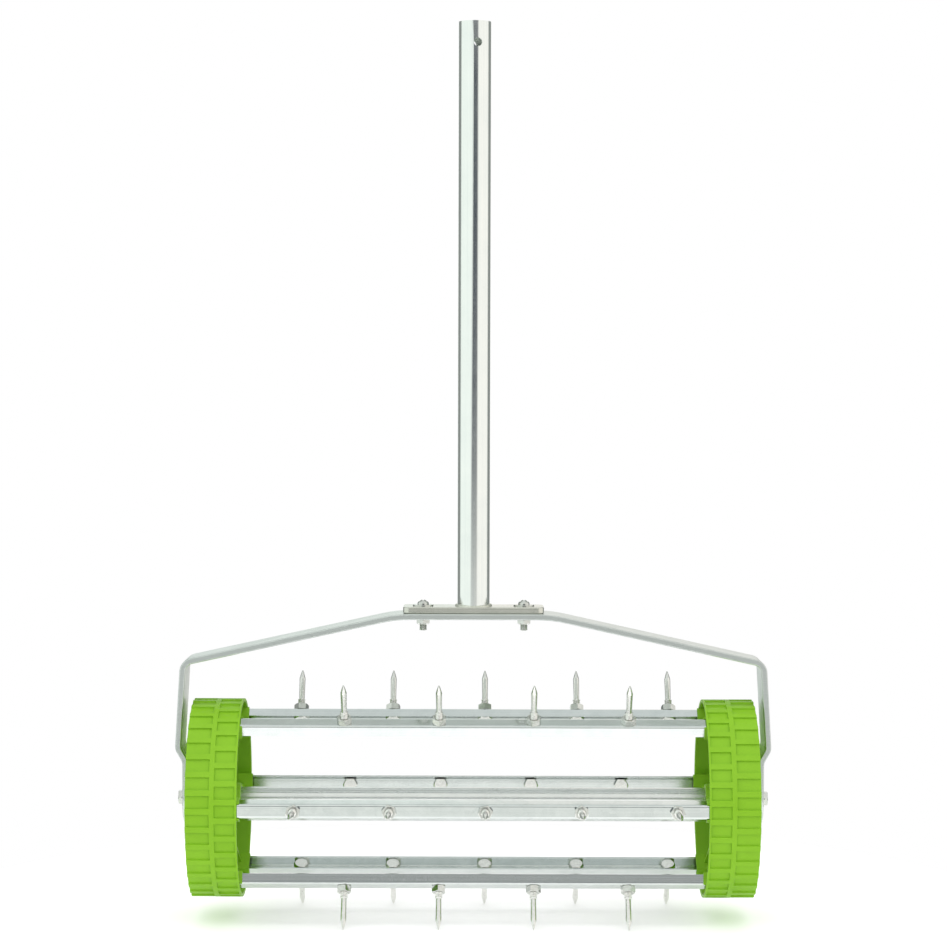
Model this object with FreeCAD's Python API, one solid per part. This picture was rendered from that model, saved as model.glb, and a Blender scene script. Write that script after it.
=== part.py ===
import FreeCAD, Part
import math
import os

from FreeCAD import Placement, Rotation, Vector

# Rolling spiked lawn aerator: a drum of six steel rails between two plastic
# wheels, turning on an axle tube held by a bent yoke with a tubular handle.
# Millimetres. X runs along the axle, -Y is the front, +Z is up.
# The origin is on the ground, below the middle of the axle.

# ---------------------------------------------------------------- drum
RAIL_COUNT = 6
RAIL_STEP = 360.0 / RAIL_COUNT
RAIL_RADIUS = 72.8
RAIL_WEB_WIDTH = 10.2
RAIL_DEPTH = 7.5
RAIL_FLANGE_SLOPE = 20.0
RAIL_SHEET = 1.2
RAIL_INNER_BEND = 0.8
RAIL_HALF_LENGTH = 206.0
RAIL_HOLE_RADIUS = 3.2

# Spikes: M6 bolts with a long pointed shank, five or four to a rail.
SPIKE_PITCH = 72.3
SPIKES_ON_RAILS = (5, 4)
SPIKE_ROW_OFFSETS = (9.2, 10.1)
SPIKE_TIP_RADIUS = 107.5
SPIKE_THREAD_RADIUS = 3.0
SPIKE_THREAD_END = 82.0
SPIKE_SHANK_RADIUS = 2.3
SPIKE_POINT_LENGTH = 7.0
SPIKE_HEAD_PLAY = 0.05
SPIKE_POINT_FLAT = 0.4
SPIKE_SHOULDER = 0.8
M6_ACROSS_FLATS = 10.0
M6_HEAD_HEIGHT = 4.0
M6_NUT_HEIGHT = 5.0
M6_NUT_BORE_RADIUS = 3.05
HEX_FACE_INSET = 0.1
HEX_CHAMFER_SLOPE = math.tan(math.radians(30))
HEX_TURN_STEP = 23.0
HEX_CORNER_TO_FLAT = 30.0

# ---------------------------------------------------------------- wheels
WHEEL_RADIUS = 76.5
WHEEL_INNER_X = 177.6
WHEEL_OUTER_X = 216.5
RIM_INNER_RADIUS = 73.9
TREAD_DEPTH = 1.3
TREAD_RIBS = 34
TREAD_RIB_WIDTH = 4.6
TREAD_BAND_INNER_X = 194.5
TREAD_BAND_OUTER_X = 198.5
TREAD_LIP = 1.6
DISC_INNER_X = 207.5
DISC_OUTER_X = 210.5
HUB_RADIUS = 11.0
HUB_DRAFT = 1.5
HUB_INNER_X = 180.0
HUB_OUTER_X = 217.2
POCKET_INNER_X = 176.0
POCKET_WALL = 1.4
POCKET_PLAY = 0.2
POCKET_RIM_OVERLAP = 0.6
GUSSET_THICKNESS = 2.0
GUSSET_DROP = 12.0
GUSSET_SETBACK = 6.3
FACE_RIB_HEIGHT = 3.5
FACE_RIB_THICKNESS = 2.2

# ---------------------------------------------------------------- axle
AXLE_RADIUS = 8.0
AXLE_WALL = 1.5
AXLE_PLAY = 0.06
AXLE_INSERT_LENGTH = 22.0
AXLE_INSERT_GAP = 0.02
AXLE_BOLT_LENGTH = 20.0
AXLE_BOLT_HEAD_HEIGHT = 3.0
AXLE_WASHER_RADIUS = 7.8
WASHER_THICKNESS = 1.6
THRUST_WASHER_RADIUS = 12.0
THRUST_WASHER_OUTER_X = 219.2
THRUST_WASHER_PLAY = 0.2

# ---------------------------------------------------------------- yoke
# Heights are above the axle; X and Z are those of the bar's outer face.
BAR_THICKNESS = 4.5
BAR_WIDTH = 40.0
BAR_EDGE_ROUND = 0.9
ARCH_TOP = 144.3
SHOULDER_X = 60.0
SHOULDER_SLOPE = 12.35
SHOULDER_BEND = 100.0
CORNER_X = 225.5
CORNER_BEND = 8.5
KNEE_X = 229.4
KNEE_Z = 39.5
ANKLE_X = 223.8
ANKLE_Z = 29.4
LEG_BEND = 8.0

# ---------------------------------------------------------------- handle
PLATE_LENGTH = 108.6
PLATE_WIDTH = 30.0
PLATE_THICKNESS = 5.0
PLATE_CORNER = 5.0
PLATE_EDGE_ROUND = 0.9
TUBE_RADIUS = 12.5
TUBE_WALL = 1.5
TUBE_LENGTH = 450.0
CROSS_HOLE_RADIUS = 3.25
CROSS_HOLE_FROM_TOP = 16.5
CROSS_HOLE_TURN = 11.0
WELD_LEG = 2.2
WELD_BULGE = 0.6
SCREW_SPACING = 78.0
SCREW_RADIUS = 3.0
SCREW_LENGTH = 20.0
SCREW_HEAD_RADIUS = 4.4
SCREW_HEAD_HEIGHT = 4.0
SCREW_DOME_EXTRA = 1.2
SCREW_HOLE_RADIUS = 3.3
PLATE_WASHER_RADIUS = 8.0
PLATE_WASHER_THICKNESS = 1.0
RECESS_DEPTH = 2.0
RECESS_ARM = 1.1
RECESS_REACH = 2.4

# How far a cutting or joining shape runs past the surface that it meets.
OVERRUN = 1.0

# ---------------------------------------------------------------- worked out
AXLE_Z = SPIKE_TIP_RADIUS * math.sin(math.radians(RAIL_STEP))
PLATE_BOTTOM = AXLE_Z + ARCH_TOP
PLATE_TOP = PLATE_BOTTOM + PLATE_THICKNESS
TUBE_TOP = PLATE_TOP + TUBE_LENGTH
AXLE_HALF_LENGTH = ANKLE_X - BAR_THICKNESS
FLANGE_SPREAD = math.tan(math.radians(RAIL_FLANGE_SLOPE))
FLANGE_ACROSS = RAIL_SHEET / math.cos(math.radians(RAIL_FLANGE_SLOPE))
RAIL_FOOT_RADIUS = RAIL_RADIUS - RAIL_DEPTH
CAVITY_FOOT_RADIUS = RAIL_FOOT_RADIUS - POCKET_PLAY
POCKET_FOOT_RADIUS = CAVITY_FOOT_RADIUS - POCKET_WALL
CAVITY_TOP_RADIUS = RAIL_RADIUS + POCKET_PLAY
CAVITY_TOP_HALF = RAIL_WEB_WIDTH / 2 + POCKET_PLAY
CAVITY_FOOT_HALF = CAVITY_TOP_HALF + RAIL_DEPTH * FLANGE_SPREAD
# A spike's head is held where the sloping flanges come in to its flats.
SPIKE_HEAD_TOP = (RAIL_RADIUS + (RAIL_WEB_WIDTH / 2 - FLANGE_ACROSS - M6_ACROSS_FLATS / 2
                                 - SPIKE_HEAD_PLAY) / FLANGE_SPREAD)
UP = Vector(0, 0, 1)
ALONG_AXLE = Vector(1, 0, 0)


def box(low, high):
    """A box from its lowest corner to its highest corner."""
    size = [top - bottom for bottom, top in zip(low, high)]
    return Part.makeBox(size[0], size[1], size[2], Vector(*low))


def rod_x(start, end, radius):
    """A round bar along the axle's direction, centred on X."""
    return Part.makeCylinder(radius, end - start, Vector(start, 0, 0), ALONG_AXLE)


def ring_x(start, end, outer, inner):
    """A tube along the axle's direction, centred on X."""
    return rod_x(start, end, outer).cut(rod_x(start, end, inner))


def rod_z(bottom, top, radius, x=0.0):
    """A round upright bar."""
    return Part.makeCylinder(radius, top - bottom, Vector(x, 0, bottom), UP)


def revolved(points, axis):
    """A solid turned from a closed outline about a line through the origin."""
    corners = [Vector(*point) for point in points]
    outline = Part.makePolygon(corners + corners[:1])
    return Part.Face(outline).revolve(Vector(0, 0, 0), axis, 360)


def hexagon_bar(across_flats, bottom, top, turn=0.0):
    """An upright hexagonal bar whose corners are chamfered at both ends."""
    corner_radius = across_flats / math.sqrt(3)
    corners = []
    for index in range(6):
        angle = math.radians(60 * index + turn)
        x = corner_radius * math.cos(angle)
        y = corner_radius * math.sin(angle)
        corners.append(Vector(x, y, bottom))
    prism = Part.Face(Part.makePolygon(corners + corners[:1])).extrude(Vector(0, 0, top - bottom))
    face_radius = across_flats / 2 - HEX_FACE_INSET
    drop = (corner_radius - face_radius) * HEX_CHAMFER_SLOPE
    limit = revolved([(0, 0, bottom), (face_radius, 0, bottom), (corner_radius, 0, bottom + drop),
                      (corner_radius, 0, top - drop), (face_radius, 0, top), (0, 0, top)], UP)
    return prism.common(limit)


def edges_along(shape, direction):
    """The straight edges of a shape that run along a direction."""
    edges = []
    for edge in shape.Edges:
        if edge.tangentAt(edge.FirstParameter).cross(direction).Length < 1e-6:
            edges.append(edge)
    return edges


def lifted(shape, height):
    """The shape raised by a height."""
    moved = shape.copy()
    moved.translate(Vector(0, 0, height))
    return moved


def mirrored(shape):
    """The shape on the other side of the middle of the axle."""
    return shape.mirror(Vector(0, 0, 0), ALONG_AXLE)


def on_rail(shape, rail, x=0.0):
    """A shape drawn pointing up from the axle, turned to a rail and moved along it."""
    angle = 90 - RAIL_STEP * rail
    moved = shape.copy()
    moved.Placement = Placement(Vector(x, 0, AXLE_Z), Rotation(ALONG_AXLE, angle))
    return moved


# ------------------------------------------------------------------ drum
def spike_places(rail):
    """Where the spikes stand along one rail."""
    count = SPIKES_ON_RAILS[rail % 2]
    middle = SPIKE_ROW_OFFSETS[rail % 2]
    return [middle + SPIKE_PITCH * (index - (count - 1) / 2) for index in range(count)]


def trapezoid_bar(ends, heights, half_widths):
    """A bar along X, pointing up, as wide as the first half width at the first height."""
    start, end = ends
    low, high = heights
    low_half, high_half = half_widths
    corners = [Vector(start, -low_half, low), Vector(start, -high_half, high),
               Vector(start, high_half, high), Vector(start, low_half, low)]
    return Part.Face(Part.makePolygon(corners + corners[:1])).extrude(Vector(end - start, 0, 0))


def channel_solid(half_length, low, inset, bend):
    """A solid bar the shape of the channel's outside, set in by a distance, with its folds rounded."""
    top = RAIL_RADIUS - inset
    inset_across = inset * FLANGE_ACROSS / RAIL_SHEET
    half_widths = []
    for height in (low, top):
        half_widths.append(RAIL_WEB_WIDTH / 2 + (RAIL_RADIUS - height) * FLANGE_SPREAD - inset_across)
    bar = trapezoid_bar((-half_length, half_length), (low, top), half_widths)
    folds = [edge for edge in edges_along(bar, ALONG_AXLE) if edge.CenterOfMass.z > top - OVERRUN]
    return bar.makeFillet(bend, folds)


def rail(index):
    """One drum rail: a folded channel, open towards the axle, with a hole for each spike."""
    outside = channel_solid(RAIL_HALF_LENGTH, RAIL_FOOT_RADIUS, 0.0, RAIL_INNER_BEND + RAIL_SHEET)
    inside = channel_solid(RAIL_HALF_LENGTH + OVERRUN, RAIL_FOOT_RADIUS - OVERRUN, RAIL_SHEET,
                           RAIL_INNER_BEND)
    channel = outside.cut(inside)
    bottom = RAIL_RADIUS - RAIL_SHEET - OVERRUN
    top = RAIL_RADIUS + OVERRUN
    for x in spike_places(index):
        channel = channel.cut(rod_z(bottom, top, RAIL_HOLE_RADIUS, x))
    return on_rail(channel, index)


def spike():
    """One spike, pointing up from the axle: hexagon head, thread, shank and point."""
    head = hexagon_bar(M6_ACROSS_FLATS, SPIKE_HEAD_TOP - M6_HEAD_HEIGHT, SPIKE_HEAD_TOP)
    root = SPIKE_HEAD_TOP - OVERRUN
    shoulder = SPIKE_THREAD_END + SPIKE_SHOULDER
    point_start = SPIKE_TIP_RADIUS - SPIKE_POINT_LENGTH
    shank = revolved([(0, 0, root), (SPIKE_THREAD_RADIUS, 0, root),
                      (SPIKE_THREAD_RADIUS, 0, SPIKE_THREAD_END), (SPIKE_SHANK_RADIUS, 0, shoulder),
                      (SPIKE_SHANK_RADIUS, 0, point_start), (SPIKE_POINT_FLAT, 0, SPIKE_TIP_RADIUS),
                      (0, 0, SPIKE_TIP_RADIUS)], UP)
    return head.fuse(shank).removeSplitter()


def spikes(index):
    """All the spikes of one rail."""
    row = [on_rail(spike(), index, x) for x in spike_places(index)]
    return Part.makeCompound(row)


def spike_nut(turn):
    """The nut that holds a spike against the outside of its rail."""
    top = RAIL_RADIUS + M6_NUT_HEIGHT
    nut = hexagon_bar(M6_ACROSS_FLATS, RAIL_RADIUS, top, turn)
    return nut.cut(rod_z(RAIL_RADIUS - OVERRUN, top + OVERRUN, M6_NUT_BORE_RADIUS))


def spike_nuts(index):
    """All the spike nuts of one rail."""
    row = []
    for number, x in enumerate(spike_places(index)):
        turn = HEX_TURN_STEP * (index + 1) * (number + 1)
        row.append(on_rail(spike_nut(turn), index, x))
    return Part.makeCompound(row)


# ------------------------------------------------------------------ wheels
def tread_gaps(start, end, stagger):
    """The sunk spaces between the cross ribs of one column of the tread."""
    floor = WHEEL_RADIUS - TREAD_DEPTH
    half_width = TREAD_RIB_WIDTH / 2
    gaps = ring_x(start, end, WHEEL_RADIUS + OVERRUN, floor)
    low = (start - OVERRUN, -WHEEL_RADIUS - 2 * OVERRUN, -half_width)
    high = (end + OVERRUN, -floor + 2 * OVERRUN, half_width)
    ribs = []
    for index in range(TREAD_RIBS):
        rib = box(low, high)
        rib.rotate(Vector(0, 0, 0), ALONG_AXLE, (index + stagger) * 360.0 / TREAD_RIBS)
        ribs.append(rib)
    return gaps.cut(Part.makeCompound(ribs))


def wheel_body():
    """The turned part of the right wheel: rim, disc and hub."""
    hub_foot = HUB_RADIUS + HUB_DRAFT
    return revolved([(HUB_INNER_X, 0, 0), (HUB_INNER_X, 0, HUB_RADIUS), (DISC_INNER_X, 0, hub_foot),
                     (DISC_INNER_X, 0, RIM_INNER_RADIUS), (WHEEL_INNER_X, 0, RIM_INNER_RADIUS),
                     (WHEEL_INNER_X, 0, WHEEL_RADIUS), (WHEEL_OUTER_X, 0, WHEEL_RADIUS),
                     (WHEEL_OUTER_X, 0, RIM_INNER_RADIUS), (DISC_OUTER_X, 0, RIM_INNER_RADIUS),
                     (DISC_OUTER_X, 0, hub_foot), (HUB_OUTER_X, 0, HUB_RADIUS), (HUB_OUTER_X, 0, 0)],
                    ALONG_AXLE)


def rail_pocket():
    """The solid block, pointing up, around one rail end."""
    heights = (POCKET_FOOT_RADIUS, RIM_INNER_RADIUS + POCKET_RIM_OVERLAP)
    half_widths = (CAVITY_FOOT_HALF + POCKET_WALL, CAVITY_TOP_HALF + POCKET_WALL)
    return trapezoid_bar((POCKET_INNER_X, DISC_INNER_X + OVERRUN), heights, half_widths)


def rail_cavity():
    """The space, pointing up, that a rail end slides into."""
    heights = (CAVITY_FOOT_RADIUS, CAVITY_TOP_RADIUS)
    half_widths = (CAVITY_FOOT_HALF, CAVITY_TOP_HALF)
    return trapezoid_bar((POCKET_INNER_X - OVERRUN, RAIL_HALF_LENGTH + POCKET_PLAY), heights, half_widths)


def pocket_mouth():
    """The space past the rim's edge, pointing up, that leaves the rail's outer face bare."""
    low = CAVITY_TOP_RADIUS
    high = RIM_INNER_RADIUS + POCKET_RIM_OVERLAP + OVERRUN
    reach = CAVITY_FOOT_HALF + POCKET_WALL
    return box((POCKET_INNER_X - OVERRUN, -reach, low), (WHEEL_INNER_X, reach, high))


def gusset():
    """A tapered rib, pointing up, from the hub to the foot of a rail pocket."""
    half = GUSSET_THICKNESS / 2
    low = HUB_RADIUS - OVERRUN
    high = POCKET_FOOT_RADIUS + OVERRUN
    start = POCKET_INNER_X + GUSSET_SETBACK
    back = DISC_INNER_X + OVERRUN
    corners = [Vector(back, -half, low), Vector(start + GUSSET_DROP, -half, low),
               Vector(start, -half, high), Vector(back, -half, high)]
    return Part.Face(Part.makePolygon(corners + corners[:1])).extrude(Vector(0, GUSSET_THICKNESS, 0))


def face_rib():
    """A low stiffening rib, pointing up, on the outer side of the disc."""
    half = FACE_RIB_THICKNESS / 2
    return box((DISC_OUTER_X - OVERRUN, -half, HUB_RADIUS - OVERRUN),
               (DISC_OUTER_X + FACE_RIB_HEIGHT, half, RIM_INNER_RADIUS))


def right_wheel():
    """The moulded wheel on the +X side, with ribs, rail pockets and tread."""
    additions = []
    cavities = []
    for index in range(RAIL_COUNT):
        for shape in (rail_pocket(), gusset()):
            shape.rotate(Vector(0, 0, 0), ALONG_AXLE, 90 - RAIL_STEP * index)
            additions.append(shape)
        rib = face_rib()
        rib.rotate(Vector(0, 0, 0), ALONG_AXLE, RAIL_STEP * index)
        additions.append(rib)
        for shape in (rail_cavity(), pocket_mouth()):
            shape.rotate(Vector(0, 0, 0), ALONG_AXLE, 90 - RAIL_STEP * index)
            cavities.append(shape)
    wheel = wheel_body().fuse(additions)
    wheel = wheel.cut(cavities)
    wheel = wheel.cut(rod_x(POCKET_INNER_X, HUB_OUTER_X + OVERRUN, AXLE_RADIUS + AXLE_PLAY))
    outer_gaps = tread_gaps(TREAD_BAND_OUTER_X, WHEEL_OUTER_X + OVERRUN, 0.0)
    inner_gaps = tread_gaps(WHEEL_INNER_X + TREAD_LIP, TREAD_BAND_INNER_X, 0.5)
    wheel = wheel.cut(outer_gaps).cut(inner_gaps)
    return lifted(wheel, AXLE_Z)


# ------------------------------------------------------------------ axle
def axle_tube():
    """The tube that carries the wheels, clamped between the yoke's legs."""
    tube = ring_x(-AXLE_HALF_LENGTH, AXLE_HALF_LENGTH, AXLE_RADIUS, AXLE_RADIUS - AXLE_WALL)
    return lifted(tube, AXLE_Z)


def right_axle_insert():
    """The threaded plug fixed in one end of the axle tube."""
    start = AXLE_HALF_LENGTH - AXLE_INSERT_LENGTH
    outer = AXLE_RADIUS - AXLE_WALL - AXLE_INSERT_GAP
    return lifted(ring_x(start, AXLE_HALF_LENGTH, outer, M6_NUT_BORE_RADIUS), AXLE_Z)


def right_axle_washer():
    """The flat washer under the head of one axle bolt."""
    washer = ring_x(ANKLE_X, ANKLE_X + WASHER_THICKNESS, AXLE_WASHER_RADIUS, SCREW_HOLE_RADIUS)
    return lifted(washer, AXLE_Z)


def right_axle_bolt():
    """The bolt that holds one leg of the yoke to the axle tube."""
    seat = ANKLE_X + WASHER_THICKNESS
    shank = rod_z(seat - AXLE_BOLT_LENGTH, seat + OVERRUN, SCREW_RADIUS)
    head = hexagon_bar(M6_ACROSS_FLATS, seat, seat + AXLE_BOLT_HEAD_HEIGHT, HEX_CORNER_TO_FLAT)
    bolt = head.fuse(shank)
    bolt.rotate(Vector(0, 0, 0), Vector(0, 1, 0), 90)
    return lifted(bolt.removeSplitter(), AXLE_Z)


def right_thrust_washer():
    """The washer between a wheel's hub and the yoke's leg."""
    start = THRUST_WASHER_OUTER_X - WASHER_THICKNESS
    bore = AXLE_RADIUS + THRUST_WASHER_PLAY
    washer = ring_x(start, THRUST_WASHER_OUTER_X, THRUST_WASHER_RADIUS, bore)
    return lifted(washer, AXLE_Z)


# ------------------------------------------------------------------ yoke
def crossing(first, second):
    """Where two straight lines, each a point and a direction, cross in the XZ plane."""
    (px, pz), (dx, dz) = first
    (qx, qz), (ex, ez) = second
    share = ((qx - px) * ez - (qz - pz) * ex) / (dx * ez - dz * ex)
    return px + share * dx, pz + share * dz


def inset_path(points, distance):
    """An open XZ path moved sideways, to its right, by a distance."""
    lines = []
    for (ax, az), (bx, bz) in zip(points[:-1], points[1:]):
        length = math.hypot(bx - ax, bz - az)
        direction = ((bx - ax) / length, (bz - az) / length)
        start = (ax + direction[1] * distance, az - direction[0] * distance)
        lines.append((start, direction))
    inner = [crossing(first, second) for first, second in zip(lines[:-1], lines[1:])]
    last_start, last_direction = lines[-1]
    reach = math.hypot(points[-1][0] - points[-2][0], points[-1][1] - points[-2][1])
    end = (last_start[0] + last_direction[0] * reach, last_start[1] + last_direction[1] * reach)
    return [lines[0][0]] + inner + [end]


def bent_wire(points, radii):
    """A wire through XZ points whose corners are tangent arcs."""
    edges = []
    start = Vector(points[0][0], 0, points[0][1])
    for index, radius in enumerate(radii, start=1):
        corner = Vector(points[index][0], 0, points[index][1])
        before = (Vector(points[index - 1][0], 0, points[index - 1][1]) - corner).normalize()
        after = (Vector(points[index + 1][0], 0, points[index + 1][1]) - corner).normalize()
        half_turn = (math.pi - before.getAngle(after)) / 2
        tangent = radius * math.tan(half_turn)
        bisector = (before + after).normalize()
        middle = corner + bisector * (radius / math.cos(half_turn) - radius)
        arc_start = corner + before * tangent
        arc_end = corner + after * tangent
        edges.append(Part.makeLine(start, arc_start))
        edges.append(Part.Arc(arc_start, middle, arc_end).toShape())
        start = arc_end
    edges.append(Part.makeLine(start, Vector(points[-1][0], 0, points[-1][1])))
    return Part.Wire(edges)


def bar_section(x, z):
    """The bar's cross-section, a rectangle with rounded corners, in a plane across X."""
    half_width = BAR_WIDTH / 2
    half_thickness = BAR_THICKNESS / 2
    section = box((0, -half_width, -half_thickness), (OVERRUN, half_width, half_thickness))
    long_edges = edges_along(section, ALONG_AXLE)
    section = section.makeFillet(BAR_EDGE_ROUND, long_edges)
    end_faces = sorted(section.Faces, key=lambda face: face.CenterOfMass.x)
    wire = end_faces[0].OuterWire
    wire.translate(Vector(x, 0, z))
    return wire


def leg_end():
    """The round lower end of the yoke's right leg, about the axle."""
    disc = rod_x(AXLE_HALF_LENGTH, ANKLE_X, BAR_WIDTH / 2)
    rims = [edge for edge in disc.Edges if isinstance(edge.Curve, Part.Circle)]
    return disc.makeFillet(BAR_EDGE_ROUND, rims)


def right_yoke_half():
    """The right half of the yoke bar, from its middle to the axle."""
    corner_z = ARCH_TOP - (CORNER_X - SHOULDER_X) * math.tan(math.radians(SHOULDER_SLOPE))
    outer_face = [(0, ARCH_TOP), (SHOULDER_X, ARCH_TOP), (CORNER_X, corner_z), (KNEE_X, KNEE_Z),
                  (ANKLE_X, ANKLE_Z), (ANKLE_X, 0)]
    middle_line = inset_path(outer_face, BAR_THICKNESS / 2)
    path = bent_wire(middle_line, [SHOULDER_BEND, CORNER_BEND, LEG_BEND, LEG_BEND])
    sweep = Part.BRepOffsetAPI.MakePipeShell(path)
    sweep.add(bar_section(middle_line[0][0], middle_line[0][1]))
    sweep.build()
    sweep.makeSolid()
    return Part.Solid(sweep.shape()).fuse(leg_end())


def yoke_bar():
    """The bent flat bar over the drum, with its screw and bolt holes."""
    right = right_yoke_half()
    bar = right.fuse(mirrored(right)).removeSplitter()
    underside = ARCH_TOP - BAR_THICKNESS - OVERRUN
    for side in (-1, 1):
        x = side * SCREW_SPACING / 2
        bar = bar.cut(rod_z(underside, ARCH_TOP + OVERRUN, SCREW_HOLE_RADIUS, x))
    bar = bar.cut(rod_x(-KNEE_X, KNEE_X, SCREW_HOLE_RADIUS))
    return lifted(bar, AXLE_Z)


# ------------------------------------------------------------------ handle
def handle_plate():
    """The plate welded to the foot of the handle tube."""
    half_length = PLATE_LENGTH / 2
    half_width = PLATE_WIDTH / 2
    plate = box((-half_length, -half_width, PLATE_BOTTOM), (half_length, half_width, PLATE_TOP))
    plate = plate.makeFillet(PLATE_CORNER, edges_along(plate, UP))
    uprights = edges_along(plate, UP)
    rims = [edge for edge in plate.Edges if not any(edge.isSame(upright) for upright in uprights)]
    plate = plate.makeFillet(PLATE_EDGE_ROUND, rims)
    for side in (-1, 1):
        x = side * SCREW_SPACING / 2
        plate = plate.cut(rod_z(PLATE_BOTTOM - OVERRUN, PLATE_TOP + OVERRUN, SCREW_HOLE_RADIUS, x))
    return plate


def handle_tube():
    """The upright tube, with a cross hole near its top for the upper handle's bolt."""
    tube = rod_z(PLATE_TOP, TUBE_TOP, TUBE_RADIUS)
    tube = tube.cut(rod_z(PLATE_TOP - OVERRUN, TUBE_TOP + OVERRUN, TUBE_RADIUS - TUBE_WALL))
    reach = TUBE_RADIUS + OVERRUN
    start = Vector(0, -reach, TUBE_TOP - CROSS_HOLE_FROM_TOP)
    drill = Part.makeCylinder(CROSS_HOLE_RADIUS, 2 * reach, start, Vector(0, 1, 0))
    drill.rotate(Vector(0, 0, 0), UP, CROSS_HOLE_TURN)
    return tube.cut(drill)


def tube_weld():
    """The weld bead round the foot of the tube."""
    outer = TUBE_RADIUS + WELD_LEG
    bulge = WELD_BULGE * WELD_LEG
    return revolved([(TUBE_RADIUS, 0, PLATE_TOP), (outer, 0, PLATE_TOP),
                     (TUBE_RADIUS + bulge, 0, PLATE_TOP + bulge),
                     (TUBE_RADIUS, 0, PLATE_TOP + WELD_LEG)], UP)


def pan_head_screw():
    """A cross-recessed machine screw, standing with its head up on the plate's washer."""
    seat = PLATE_TOP + PLATE_WASHER_THICKNESS
    top = seat + SCREW_HEAD_HEIGHT
    radius = SCREW_HEAD_RADIUS
    dome = (radius ** 2 + SCREW_HEAD_HEIGHT ** 2) / (2 * SCREW_HEAD_HEIGHT) + SCREW_DOME_EXTRA
    head = rod_z(seat, top, radius).common(Part.makeSphere(dome, Vector(0, 0, top - dome)))
    screw = head.fuse(rod_z(seat - SCREW_LENGTH, seat + OVERRUN, SCREW_RADIUS))
    half_arm = RECESS_ARM / 2
    for x, y in ((RECESS_REACH, half_arm), (half_arm, RECESS_REACH)):
        screw = screw.cut(box((-x, -y, top - RECESS_DEPTH), (x, y, top + OVERRUN)))
    return screw.removeSplitter()


def plate_nut():
    """The nut under the yoke bar on a plate screw."""
    top = PLATE_BOTTOM - BAR_THICKNESS
    bottom = top - M6_NUT_HEIGHT
    nut = hexagon_bar(M6_ACROSS_FLATS, bottom, top, HEX_CORNER_TO_FLAT)
    return nut.cut(rod_z(bottom - OVERRUN, top + OVERRUN, M6_NUT_BORE_RADIUS))


def plate_washer():
    """The wide washer under a plate screw's head."""
    top = PLATE_TOP + PLATE_WASHER_THICKNESS
    washer = rod_z(PLATE_TOP, top, PLATE_WASHER_RADIUS)
    return washer.cut(rod_z(PLATE_TOP - OVERRUN, top + OVERRUN, SCREW_HOLE_RADIUS))


def at_both_screws(shape):
    """A copy of the shape at each plate screw."""
    copies = []
    for side in (-1, 1):
        copy = shape.copy()
        copy.translate(Vector(side * SCREW_SPACING / 2, 0, 0))
        copies.append(copy)
    return Part.makeCompound(copies)


# ------------------------------------------------------------------ assembly
def nodes():
    """Every piece of the aerator, by name."""
    pieces = {
        "handle_tube": handle_tube(),
        "tube_weld": tube_weld(),
        "handle_plate": handle_plate(),
        "plate_screws": at_both_screws(pan_head_screw()),
        "plate_washers": at_both_screws(plate_washer()),
        "plate_nuts": at_both_screws(plate_nut()),
        "yoke_bar": yoke_bar(),
        "axle_tube": axle_tube(),
    }
    paired = {
        "axle_insert": right_axle_insert(),
        "axle_washer": right_axle_washer(),
        "axle_bolt": right_axle_bolt(),
        "thrust_washer": right_thrust_washer(),
        "wheel": right_wheel(),
    }
    for name, shape in paired.items():
        pieces["right_" + name] = shape
        pieces["left_" + name] = mirrored(shape)
    for index in range(RAIL_COUNT):
        pieces[f"rail_{index + 1}"] = rail(index)
        pieces[f"spikes_{index + 1}"] = spikes(index)
        pieces[f"spike_nuts_{index + 1}"] = spike_nuts(index)
    return pieces


os.makedirs("parts", exist_ok=True)
for name, shape in nodes().items():
    shape.exportStep(f"parts/{name}.step")
    state = "valid" if shape.isValid() else "INVALID"
    print(name, len(shape.Solids), "solids", round(shape.Volume), "mm3", state)
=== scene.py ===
"""Looks of the rolling lawn aerator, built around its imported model.

Metres. X runs along the axle, -Y is the front and +Z is up. The origin is on the ground,
below the middle of the axle. Two bodies move: the drum turns on its axle, and the handle
frame carries it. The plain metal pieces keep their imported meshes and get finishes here;
the spikes, nuts, screws, weld bead and wheels are replaced by finer surfaces.
"""

import logging
import math
from collections.abc import Iterator, Sequence
from dataclasses import dataclass, field
from enum import Enum

import bpy
import numpy as np
from mathutils import Euler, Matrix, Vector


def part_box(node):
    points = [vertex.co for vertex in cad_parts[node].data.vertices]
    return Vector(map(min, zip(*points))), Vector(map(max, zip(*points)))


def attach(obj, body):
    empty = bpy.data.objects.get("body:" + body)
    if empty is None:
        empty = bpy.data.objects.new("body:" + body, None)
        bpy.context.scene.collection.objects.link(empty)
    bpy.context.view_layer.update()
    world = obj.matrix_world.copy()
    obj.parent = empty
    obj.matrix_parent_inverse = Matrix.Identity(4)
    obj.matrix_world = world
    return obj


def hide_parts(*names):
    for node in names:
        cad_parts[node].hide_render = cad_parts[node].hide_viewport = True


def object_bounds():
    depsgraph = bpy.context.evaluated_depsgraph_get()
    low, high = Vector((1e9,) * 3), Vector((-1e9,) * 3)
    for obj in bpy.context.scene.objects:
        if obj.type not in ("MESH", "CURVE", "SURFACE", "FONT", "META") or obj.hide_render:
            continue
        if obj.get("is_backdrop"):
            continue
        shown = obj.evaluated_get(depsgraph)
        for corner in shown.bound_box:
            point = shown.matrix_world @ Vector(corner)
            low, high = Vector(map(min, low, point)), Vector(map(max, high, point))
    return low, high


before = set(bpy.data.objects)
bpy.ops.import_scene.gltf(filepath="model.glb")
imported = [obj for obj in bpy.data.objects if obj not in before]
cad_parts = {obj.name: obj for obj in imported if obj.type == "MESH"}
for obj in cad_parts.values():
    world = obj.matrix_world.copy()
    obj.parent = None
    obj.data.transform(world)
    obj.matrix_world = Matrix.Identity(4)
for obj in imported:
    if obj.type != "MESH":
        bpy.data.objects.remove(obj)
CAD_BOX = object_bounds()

LOG = logging.getLogger("aerator")
MM = 0.001
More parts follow.
